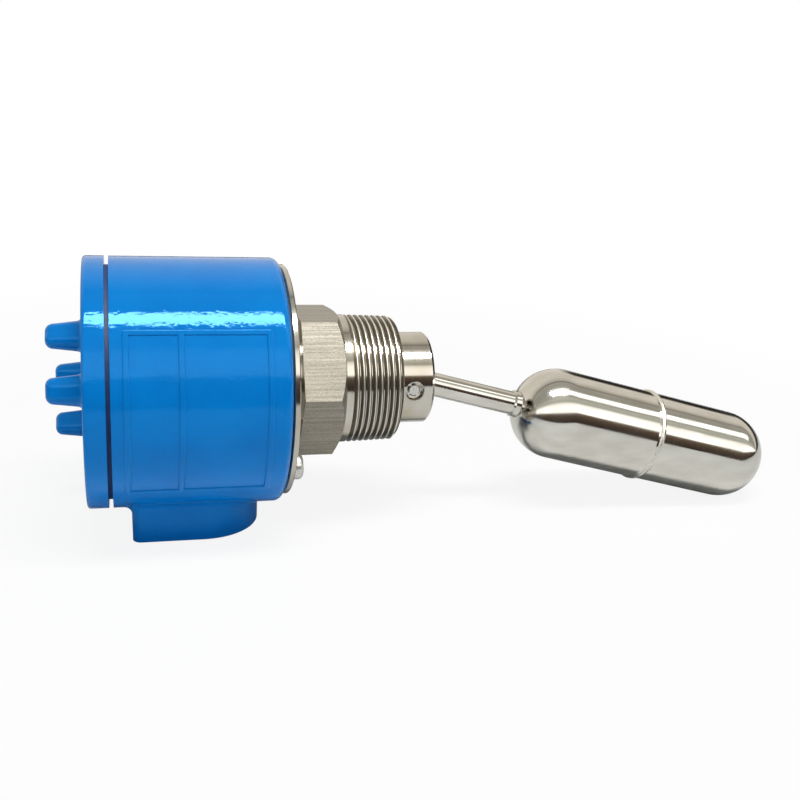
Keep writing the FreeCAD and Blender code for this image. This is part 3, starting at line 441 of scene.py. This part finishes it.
def drawProfile(name, points, closed):
    # a plane is merged to one point, which is then extruded from place to place in the XZ plane
    deselect()
    bpy.ops.mesh.primitive_plane_add(size=1 * mm)
    piece = bpy.context.object
    piece.name = name
    bpy.ops.object.mode_set(mode="EDIT")
    bpy.ops.mesh.select_mode(type="VERT")
    bpy.ops.mesh.select_all(action="SELECT")
    bpy.ops.mesh.merge(type="CENTER")
    path = [Vector((x * mm, 0, z * mm)) for x, z in points]
    bpy.ops.transform.translate(value=path[0])
    route = path + path[:1] if closed else path
    for start, end in zip(route, route[1:]):
        bpy.ops.mesh.extrude_region_move(TRANSFORM_OT_translate={"value": end - start})
    bpy.ops.mesh.select_all(action="SELECT")
    bpy.ops.mesh.remove_doubles(threshold=mergeReach)
    bpy.ops.object.mode_set(mode="OBJECT")
    return piece


def turnOnLathe(name, points, closed=False, steps=144):
    # the profile is spun round the X axis
    piece = drawProfile(name, points, closed)
    bpy.ops.object.mode_set(mode="EDIT")
    bpy.ops.mesh.select_all(action="SELECT")
    bpy.ops.mesh.spin(steps=steps, angle=2 * math.pi, center=(0, 0, 0), axis=(1, 0, 0))
    bpy.ops.object.mode_set(mode="OBJECT")
    closeMesh(piece)
    return piece


def combine(piece, other, operation):
    pick(piece)
    modifier = piece.modifiers.new(operation.lower(), "BOOLEAN")
    modifier.operation = operation
    modifier.solver = "EXACT"
    modifier.object = other
    bpy.ops.object.modifier_apply(modifier=modifier.name)
    bpy.data.objects.remove(other)
    return piece


def breakEdges(piece, width, angle=30, segments=2):
    pick(piece)
    modifier = piece.modifiers.new("brokenEdges", "BEVEL")
    modifier.width = width
    modifier.segments = segments
    modifier.limit_method = "ANGLE"
    modifier.angle_limit = math.radians(angle)
    modifier.miter_outer = "MITER_ARC"
    bpy.ops.object.modifier_apply(modifier=modifier.name)


def finishPiece(piece, material, body, smooth=30):
    pick(piece)
    bpy.ops.object.transform_apply(location=True, rotation=True, scale=True)
    bpy.ops.object.shade_smooth_by_angle(angle=math.radians(smooth))
    piece.data.materials.clear()
    piece.data.materials.append(material)
    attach(piece, body)
    return piece


def addRod(radius, start, end, axis, vertices=64):
    # a plain cylinder from start to end along one axis, to cut holes with or to cut down further
    deselect()
    middle = [(a + b) / 2 * mm for a, b in zip(start, end)]
    turn = {"X": (0, math.pi / 2, 0), "Y": (math.pi / 2, 0, 0), "Z": (0, 0, 0)}[axis]
    depth = (Vector(end) - Vector(start)).length * mm
    bpy.ops.mesh.primitive_cylinder_add(
        vertices=vertices, radius=radius * mm, depth=depth, location=middle, rotation=turn)
    bpy.ops.object.transform_apply(location=True, rotation=True, scale=True)
    return bpy.context.object


# Process nipple: one turned piece with a wrench hexagon and a cut pipe thread

nipple = {
    "spigotEnd": -38.5, "spigot": 15.0,
    "plateFace": -22.6, "neck": 22.5, "neckOverlap": 0.5,
    "hexBack": -18.7, "hexFace": -3.0, "hexFlats": 50.3, "hexTurn": 1.5,
    "hexChamfer": 2.7, "hexFaceRadius": 24.6, "hexBackChamfer": 0.1, "hexCornerSpare": 0.8,
    "hexCore": 20.0, "hexEdge": 0.18,
    "crest": 24.15, "crestStart": -0.35, "rootStart": 0.6, "rootShort": 0.1,
    "threadEnd": 18.6, "taper": 0.03125, "threadChamfer": 1.4,
    "pitch": 2.209, "threadDepth": 1.55,
    "nose": 17.34, "noseEnd": 31.9, "noseChamfer": 1.0,
    "wetBore": 12.5, "partition": -11.8, "partitionThickness": 2.2, "dryBore": 11.0,
    "pin": 24.1, "pinHole": 1.9, "recess": 3.7, "recessDepth": 2.9, "pinRelief": 2.4, "pinReliefDepth": 1.4,
    "cutReach": 20,
}


def makeNippleBody():
    n = nipple
    root = n["crest"] - n["threadDepth"]
    endRoot = root - n["threadEnd"] * n["taper"]
    collar = n["hexFace"] - n["neckOverlap"]
    rootEnd = n["threadEnd"] - n["rootShort"]
    partitionBack = n["partition"] - n["partitionThickness"]
    body = turnOnLathe("nippleBody", [
        (n["spigotEnd"], n["dryBore"]), (n["spigotEnd"], n["spigot"]), (n["plateFace"], n["spigot"]),
        (n["plateFace"], n["neck"]), (collar, n["neck"]), (collar, n["crest"]),
        (n["crestStart"], n["crest"]), (n["rootStart"], root), (rootEnd, endRoot), (rootEnd, n["nose"]),
        (n["noseEnd"] - n["noseChamfer"], n["nose"]), (n["noseEnd"], n["nose"] - n["noseChamfer"]),
        (n["noseEnd"], n["wetBore"]), (n["partition"], n["wetBore"]), (n["partition"], 0),
        (partitionBack, 0), (partitionBack, n["dryBore"]),
    ], closed=True)
    reach = n["cutReach"]
    combine(body, addRod(n["pinHole"], (n["pin"], -reach, 0), (n["pin"], reach, 0), "Y"), "DIFFERENCE")
    for side in (-1, 1):
        seat = side * (n["nose"] - n["recessDepth"])
        for radius, depth in ((n["recess"], 0), (n["pinRelief"], n["pinReliefDepth"])):
            cutter = addRod(radius, (n["pin"], seat - side * depth, 0), (n["pin"], side * reach, 0), "Y")
            combine(body, cutter, "DIFFERENCE")
    finishPiece(body, finishes["turned_stainless"], "housing")
    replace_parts(body, "hex_nipple")
    return body


def makeWrenchHexagon():
    n = nipple
    corner = n["hexFlats"] / math.sqrt(3)
    back, face = n["hexBack"], n["hexFace"]
    deselect()
    bpy.ops.mesh.primitive_cylinder_add(
        vertices=6, radius=corner * mm, depth=(face - back) * mm,
        location=((face + back) / 2 * mm, 0, 0), rotation=(0, math.pi / 2, 0))
    hexagon = bpy.context.object
    hexagon.name = "wrenchHexagon"
    bpy.ops.object.transform_apply(location=True, rotation=True, scale=True)
    bpy.ops.object.mode_set(mode="EDIT")
    bpy.ops.mesh.select_all(action="SELECT")
    bpy.ops.transform.rotate(value=math.radians(n["hexTurn"]), orient_axis="X", center_override=(0, 0, 0))
    bpy.ops.object.mode_set(mode="OBJECT")
    wide = corner + n["hexCornerSpare"]
    envelope = turnOnLathe("hexEnvelope", [
        (back - 1, 0), (back - 1, wide), (back - n["hexBackChamfer"], wide),
        (face - n["hexChamfer"], corner), (face, n["hexFaceRadius"]), (face, 0)])
    combine(hexagon, envelope, "INTERSECT")
    combine(hexagon, addRod(n["hexCore"], (back - 2, 0, 0), (face + 2, 0, 0), "X", 96), "DIFFERENCE")
    breakEdges(hexagon, n["hexEdge"] * mm, angle=20)
    return finishPiece(hexagon, milledSteel, "housing", 4)


helix = {
    "crestHalf": 0.16, "gap": 0.06, "sink": 0.2, "start": -1.5, "turns": 10, "steps": 96,
    "runIn": [(-0.6, 0), (-0.6, 21.0), (0.0, 23.25), (1.0, 24.25)], "crestSpare": 0.1,
}


def makePipeThread():
    # a V wound as a helix, tapered as a whole, then cut to the thread's length and chamfers
    n, h = nipple, helix
    baseHalf = (n["pitch"] - h["gap"]) / 2
    start, crestHalf = h["start"], h["crestHalf"]
    foot = n["crest"] - n["threadDepth"] - h["sink"]
    thread = drawProfile("pipeThread", [
        (start - baseHalf, foot), (start - crestHalf, n["crest"]),
        (start + crestHalf, n["crest"]), (start + baseHalf, foot)], closed=True)
    pick(thread)
    screw = thread.modifiers.new("helix", "SCREW")
    screw.axis = "X"
    screw.steps = h["steps"]
    screw.render_steps = h["steps"]
    screw.iterations = h["turns"]
    screw.screw_offset = n["pitch"] * mm
    screw.use_merge_vertices = True
    bpy.ops.object.modifier_apply(modifier=screw.name)
    bpy.ops.object.mode_set(mode="EDIT")
    bpy.ops.mesh.select_all(action="SELECT")
    bpy.ops.mesh.fill_holes(sides=0)
    bpy.ops.object.mode_set(mode="OBJECT")
    closeMesh(thread)
    span = max(v.co.x for v in thread.data.vertices) - min(v.co.x for v in thread.data.vertices)
    cone = thread.modifiers.new("pipeTaper", "SIMPLE_DEFORM")
    cone.deform_method = "TAPER"
    cone.deform_axis = "X"
    cone.factor = -n["taper"] / (n["crest"] * mm) * span
    bpy.ops.object.modifier_apply(modifier=cone.name)
    endCrest = n["crest"] - n["threadEnd"] * n["taper"] + h["crestSpare"]
    envelope = turnOnLathe("threadEnvelope", h["runIn"] + [
        (n["threadEnd"] - n["threadChamfer"], endCrest),
        (n["threadEnd"], endCrest - n["threadChamfer"]), (n["threadEnd"], 0)])
    combine(thread, envelope, "INTERSECT")
    return finishPiece(thread, cutThread, "housing", 24)


makeNippleBody()
makeWrenchHexagon()
makePipeThread()
print("nipple turned, milled and threaded")


# Cast frame round the bare name field: the same ridges with soft shoulders

nameFrame = {
    "wall": 45.07, "height": 0.48, "flat": 0.5, "shoulder": 0.55, "sink": 0.4,
    "halfAngle": 38.5, "left": -79.7, "divider": -62.0, "right": -32.8,
}


def ridgeSection(middle):
    # across and outward: flat crest, two rounded shoulders, foot sunk in the wall
    n = nameFrame
    turns = [math.radians(15 * step) for step in range(7)]
    rise = [(middle - n["flat"] - n["shoulder"] * math.cos(a), n["height"] * math.sin(a)) for a in turns]
    fall = [(2 * middle - x, z) for x, z in reversed(rise)]
    foot = n["flat"] + n["shoulder"]
    section = [(middle - foot, -n["sink"])] + rise + fall + [(middle + foot, -n["sink"])]
    return [(x, n["wall"] + z) for x, z in section]


def capEnds(piece):
    bpy.ops.object.mode_set(mode="EDIT")
    bpy.ops.mesh.select_all(action="SELECT")
    bpy.ops.mesh.fill_holes(sides=0)
    bpy.ops.object.mode_set(mode="OBJECT")
    closeMesh(piece)


def makeFrameRib(name, station):
    n = nameFrame
    rib = drawProfile(name, ridgeSection(station), closed=True)
    rib.rotation_euler.x = math.radians(90 - n["halfAngle"])
    bpy.ops.object.transform_apply(rotation=True)
    bpy.ops.object.mode_set(mode="EDIT")
    bpy.ops.mesh.select_all(action="SELECT")
    bpy.ops.mesh.spin(steps=48, angle=-math.radians(2 * n["halfAngle"]), center=(0, 0, 0), axis=(1, 0, 0))
    bpy.ops.object.mode_set(mode="OBJECT")
    capEnds(rib)
    return finishPiece(rib, finishes["blue_enamel"], "housing", 50)


def makeFrameLine(name, angle):
    n = nameFrame
    line = drawProfile(name, ridgeSection(0), closed=True)
    line.rotation_euler.z = math.pi / 2
    bpy.ops.object.transform_apply(rotation=True)
    bpy.ops.object.mode_set(mode="EDIT")
    bpy.ops.mesh.select_all(action="SELECT")
    bpy.ops.transform.translate(value=((n["left"] - n["flat"]) * mm, 0, 0))
    length = n["right"] - n["left"] + 2 * n["flat"]
    bpy.ops.mesh.extrude_region_move(TRANSFORM_OT_translate={"value": (length * mm, 0, 0)})
    bpy.ops.object.mode_set(mode="OBJECT")
    capEnds(line)
    line.rotation_euler.x = math.radians(90 - angle)
    return finishPiece(line, finishes["blue_enamel"], "housing", 50)


for ribName in ("left", "divider", "right"):
    makeFrameRib(f"frameRib_{ribName}", nameFrame[ribName])
makeFrameLine("frameLine_upper", nameFrame["halfAngle"])
makeFrameLine("frameLine_lower", -nameFrame["halfAngle"])
print("name frame rounded")


# Retaining clips: sprung steel with three prongs in the pin's groove and an open mouth

pivotClip = {
    "x": nipple["pin"], "seat": 14.49, "thickness": 0.7, "outer": 3.35, "inner": 2.45, "edge": 0.09,
    "mouth": 2.2, "mouthAngle": 40, "prongWidth": 1.0, "prongTip": 1.5, "prongRoot": 0.3,
    "prongAngles": (130, 220, 310), "cutSpare": 1,
}


def makePivotClip(name, side):
    c = pivotClip
    face = side * (c["seat"] + c["thickness"])
    back = side * c["seat"]
    spare = c["cutSpare"]
    clip = addRod(c["outer"], (c["x"], back, 0), (c["x"], face, 0), "Y", 72)
    clip.name = name
    hole = addRod(c["inner"], (c["x"], back - spare, 0), (c["x"], back + 2 * spare, 0), "Y", 72)
    combine(clip, hole, "DIFFERENCE")
    prongFoot = c["inner"] + c["prongRoot"]
    blocks = [(angle, c["prongTip"], prongFoot, c["prongWidth"], "UNION") for angle in c["prongAngles"]]
    blocks.append((c["mouthAngle"], c["inner"] - spare, c["outer"] + spare, c["mouth"], "DIFFERENCE"))
    for angle, start, end, width, operation in blocks:
        deselect()
        middle = (start + end) / 2
        turn = math.radians(angle)
        bpy.ops.mesh.primitive_cube_add(size=1, location=(
            (c["x"] + middle * math.cos(turn)) * mm, (face + back) / 2 * mm, middle * math.sin(turn) * mm),
            rotation=(0, -turn, 0))
        block = bpy.context.object
        thickness = c["thickness"] + (spare if operation == "DIFFERENCE" else 0)
        block.scale = ((end - start) * mm, thickness * mm, width * mm)
        combine(clip, block, operation)
    breakEdges(clip, c["edge"] * mm, angle=40)
    return finishPiece(clip, finishes["screw_steel"], "housing", 30)


for clipName, side in (("near", -1), ("far", 1)):
    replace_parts(makePivotClip(f"pivotClip_{clipName}", side), "pivot_clips")
print("pivot clips cut")


# Plate screws: pan heads with a cross recess

plateScrew = {
    "circle": 36.4, "angle": 41, "underHead": nipple["plateFace"], "headHeight": 3.7, "head": 4.75,
    "crown": 1.7, "crownReach": 2.21, "crownRise": 0.12,
    "shank": 2.5, "tip": -30.6, "tipChamfer": 0.5, "slot": 0.95, "slotReach": 4.6, "slotDepth": 1.9,
}


def makePlateScrew(name, turn):
    s = plateScrew
    face = s["underHead"] + s["headHeight"]
    bends = [math.radians(15 * step) for step in range(7)]
    crown = [(face - s["crown"] * (1 - math.sin(a)), s["head"] - s["crownReach"] * (1 - math.cos(a)))
             for a in bends]
    screw = turnOnLathe(name, [
        (s["tip"], 0), (s["tip"], s["shank"] - s["tipChamfer"]), (s["tip"] + s["tipChamfer"], s["shank"]),
        (s["underHead"], s["shank"]), (s["underHead"], s["head"]),
        *crown, (face + s["crownRise"], 0)], steps=72)
    for quarter in (0, math.pi / 2):
        deselect()
        bpy.ops.mesh.primitive_cube_add(size=1, location=(face * mm, 0, 0), rotation=(quarter, 0, 0))
        slot = bpy.context.object
        slot.scale = (2 * s["slotDepth"] * mm, s["slotReach"] * mm, s["slot"] * mm)
        combine(screw, slot, "DIFFERENCE")
    screw.location = (0, -s["circle"] * math.cos(turn) * mm, s["circle"] * math.sin(turn) * mm)
    return finishPiece(screw, finishes["screw_steel"], "housing", 30)


for screwName, opposite in (("lower", 0), ("upper", math.pi)):
    screw = makePlateScrew(f"plateScrew_{screwName}", opposite - math.radians(plateScrew["angle"]))
    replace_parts(screw, "plate_screws")
print("plate screws headed")


# Weld bead: two rolled crests round the float where its half shells meet

floatSeam = {
    "pivot": nipple["pin"], "reach": 106.2, "armAngle": 14.44,
    # half of the profile, from the middle groove out to the foot inside the float
    "profile": [(0, 18.68), (0.16, 18.82), (0.4, 18.9), (0.66, 18.74), (0.8, 18.3), (0.8, 17.9)],
}


def makeSeamBead():
    s = floatSeam
    left = [(-x, r) for x, r in reversed(s["profile"][1:])]
    bead = turnOnLathe("seamBead", left + s["profile"], closed=True)
    turn = math.radians(s["armAngle"])
    bead.rotation_euler.y = turn
    bead.location = ((s["pivot"] + s["reach"] * math.cos(turn)) * mm, 0, -s["reach"] * math.sin(turn) * mm)
    return finishPiece(bead, makeWeldBead(), "float_arm", 50)


makeSeamBead()
print("seam bead laid")


# Camera: beside and above, turned a little towards the float

cameraView = {
    "place": (-81.24 * mm, -380.51 * mm, 123.93 * mm),
    "yaw": 15.36, "pitch": 18.66, "roll": 3.76,
    "lens": 48.345, "sensor": 36.0, "nearest": 0.01,
}


def placeCamera():
    view = cameraView
    bpy.ops.object.camera_add()
    camera = bpy.context.object
    turn = (Matrix.Rotation(math.radians(-view["yaw"]), 4, "Z")
            @ Matrix.Rotation(math.radians(90 - view["pitch"]), 4, "X")
            @ Matrix.Rotation(math.radians(view["roll"]), 4, "Z"))
    camera.matrix_world = Matrix.Translation(Vector(view["place"])) @ turn
    camera.data.lens = view["lens"]
    camera.data.sensor_width = view["sensor"]
    camera.data.clip_start = view["nearest"]
    bpy.context.scene.camera = camera


# Studio: a white table, a dark room in front of it, a white card over that, and strip lights overhead

studio = {
    "floorDrop": 0.1 * mm, "floorFront": -0.52, "floorBack": 1.4,
    "floorColour": "#CBCAC5", "bounceColour": "#F2F4F8", # seen by the eye and mirrors, and by dull surfaces
    "fibre": (0.4 * mm,) * 3, "fibreDepth": 0.004 * mm,
    "shadowShow": 0.11, "shadowReach": (0.2, 0.42),
    "fill": (0.16, 0.74), "fillDepth": (0.6, -0.8), "fillColour": "#E2F0FF", # weak behind, strong in front
    "reflected": 2.2,
    "darkCorner": "#201D19", "cornerSide": (0.38, 0.52), "cornerTurn": (150, 156),
    # what polished metal sees, from the front horizon (0) over the top to the back horizon (180 degrees)
    "walls": [
        (0, "#29221D"), (14, "#44392F"), (20, "#5A4F44"), (22, "#F0F0EC"), (38, "#ECEBE6"),
        (45, "#CFCEC8"), (48, "#888980"), (57, "#95968D"), (62, "#7F8078"), (86, "#76766F"),
        (103, "#827E77"), (105, "#4B4C46"), (109, "#89857D"), (122, "#A7A39B"), (180, "#ACA8A1"),
    ],
    "striplights": [
        # name, place, aimed at, length and width, power, whether it lights dull surfaces too
        ("overhead", (0.05, -0.275, 0.92), (-0.03, 0, 0.03), (0.68, 0.18), 11.0, True),
        ("overheadGlint", (0.05, -0.275, 0.92), (-0.03, 0, 0.03), (0.68, 0.18), 14.0, False),
        ("overheadFar", (0.95, -0.27, 0.86), (0.25, 0, 0), (1.0, 0.24), 1.2, True),
    ],
}


def makeFloor():
    deselect()
    length = studio["floorBack"] - studio["floorFront"]
    bpy.ops.mesh.primitive_plane_add(size=length, location=(
        0, studio["floorFront"] + length / 2, cadBounds[0][2] - studio["floorDrop"]))
    floor = bpy.context.object
    floor.name = "paperFloor"
    bpy.ops.object.transform_apply(location=True)
    material, tree, place = startMaterial("whitePaper")
    path = addNode(tree, "ShaderNodeLightPath")
    fibre = grain(tree, place, studio["fibre"], 2.0)
    dull = path.outputs["Is Diffuse Ray"]
    paper = addNode(tree, "ShaderNodeBsdfDiffuse", {
        "Color": tinted(tree, dull, studio["floorColour"], studio["bounceColour"]),
        "Normal": relief(tree, fibre, studio["fibreDepth"])})
    white = addNode(tree, "ShaderNodeEmission", {"Color": (1, 1, 1, 1), "Strength": 1.0})
    away = addNode(tree, "ShaderNodeVectorMath", {0: place}, operation="LENGTH").outputs["Value"]
    whiteness = spread(tree, away, 1 - studio["shadowShow"], 1, *studio["shadowReach"])
    shown = addNode(tree, "ShaderNodeMath", {
        0: path.outputs["Is Camera Ray"], 1: whiteness}, operation="MULTIPLY")
    mix = addNode(tree, "ShaderNodeMixShader", {
        0: shown.outputs[0], 1: paper.outputs[0], 2: white.outputs[0]})
    endMaterial(tree, mix)
    floor.data.materials.append(material)


def makeWalls(tree):
    # a ramp that runs over the studio from front to back, and a dark corner behind the float's end
    outward = addNode(tree, "ShaderNodeTexCoord").outputs["Generated"]
    parts = addNode(tree, "ShaderNodeSeparateXYZ", {"Vector": outward})
    forward = addNode(tree, "ShaderNodeMath", {0: parts.outputs["Y"], 1: -1.0}, operation="MULTIPLY")
    turn = addNode(tree, "ShaderNodeMath", {
        0: parts.outputs["Z"], 1: forward.outputs[0]}, operation="ARCTAN2").outputs[0]
    along = addNode(tree, "ShaderNodeMapRange", {"Value": turn, "From Min": 0.0, "From Max": math.pi})
    ramp = addNode(tree, "ShaderNodeValToRGB", {"Fac": along.outputs[0]})
    stops = ramp.color_ramp.elements
    stops.remove(stops[1])
    for index, (angle, colour) in enumerate(studio["walls"]):
        stop = stops[0] if index == 0 else stops.new(angle / 180)
        stop.color = toLinear(colour)
    right = spread(tree, parts.outputs["X"], 0, 1, *studio["cornerSide"])
    behind = spread(tree, turn, 0, 1, *(math.radians(angle) for angle in studio["cornerTurn"]))
    corner = addNode(tree, "ShaderNodeMath", {0: right, 1: behind}, operation="MULTIPLY").outputs[0]
    walls = addNode(tree, "ShaderNodeMix", data_type="RGBA")
    tree.links.new(corner, walls.inputs["Factor"])
    tree.links.new(ramp.outputs["Color"], walls.inputs[6])
    walls.inputs[7].default_value = toLinear(studio["darkCorner"])
    return walls.outputs[2]


def makeWorld():
    world = bpy.data.worlds.new("studio")
    bpy.context.scene.world = world
    world.use_nodes = True
    tree = world.node_tree
    tree.nodes.clear()
    path = addNode(tree, "ShaderNodeLightPath")
    mirrored = addNode(tree, "ShaderNodeBackground", {
        "Color": makeWalls(tree), "Strength": studio["reflected"]})
    backdrop = addNode(tree, "ShaderNodeBackground", {"Color": (1, 1, 1, 1), "Strength": 1.0})
    outward = addNode(tree, "ShaderNodeTexCoord").outputs["Generated"]
    depth = addNode(tree, "ShaderNodeSeparateXYZ", {"Vector": outward}).outputs["Y"]
    fill = addNode(tree, "ShaderNodeBackground", {
        "Color": toLinear(studio["fillColour"]),
        "Strength": spread(tree, depth, *studio["fill"], *studio["fillDepth"])})
    shiny = addNode(tree, "ShaderNodeMath", {
        0: path.outputs["Is Glossy Ray"], 1: path.outputs["Is Transmission Ray"]}, operation="MAXIMUM")
    first = addNode(tree, "ShaderNodeMixShader", {
        0: shiny.outputs[0], 1: fill.outputs[0], 2: mirrored.outputs[0]})
    last = addNode(tree, "ShaderNodeMixShader", {
        0: path.outputs["Is Camera Ray"], 1: first.outputs[0], 2: backdrop.outputs[0]})
    addNode(tree, "ShaderNodeOutputWorld", {"Surface": last.outputs[0]})


def makeStriplights():
    for name, place, target, size, power, spreads in studio["striplights"]:
        bpy.ops.object.light_add(type="AREA", location=place)
        lamp = bpy.context.object
        lamp.name = name
        lamp.data.shape = "RECTANGLE"
        lamp.data.size, lamp.data.size_y = size
        lamp.data.energy = power
        lamp.visible_diffuse = spreads
        facing = (Vector(place) - Vector(target)).normalized()
        across = facing.cross(Vector((1, 0, 0))).normalized()
        along = across.cross(facing)
        turn = Matrix((along, across, facing)).transposed().to_4x4()
        lamp.matrix_world = Matrix.Translation(place) @ turn


placeCamera()
makeFloor()
makeWorld()
makeStriplights()
bpy.context.scene.view_settings.view_transform = "Standard"
print("camera, floor and lights set")
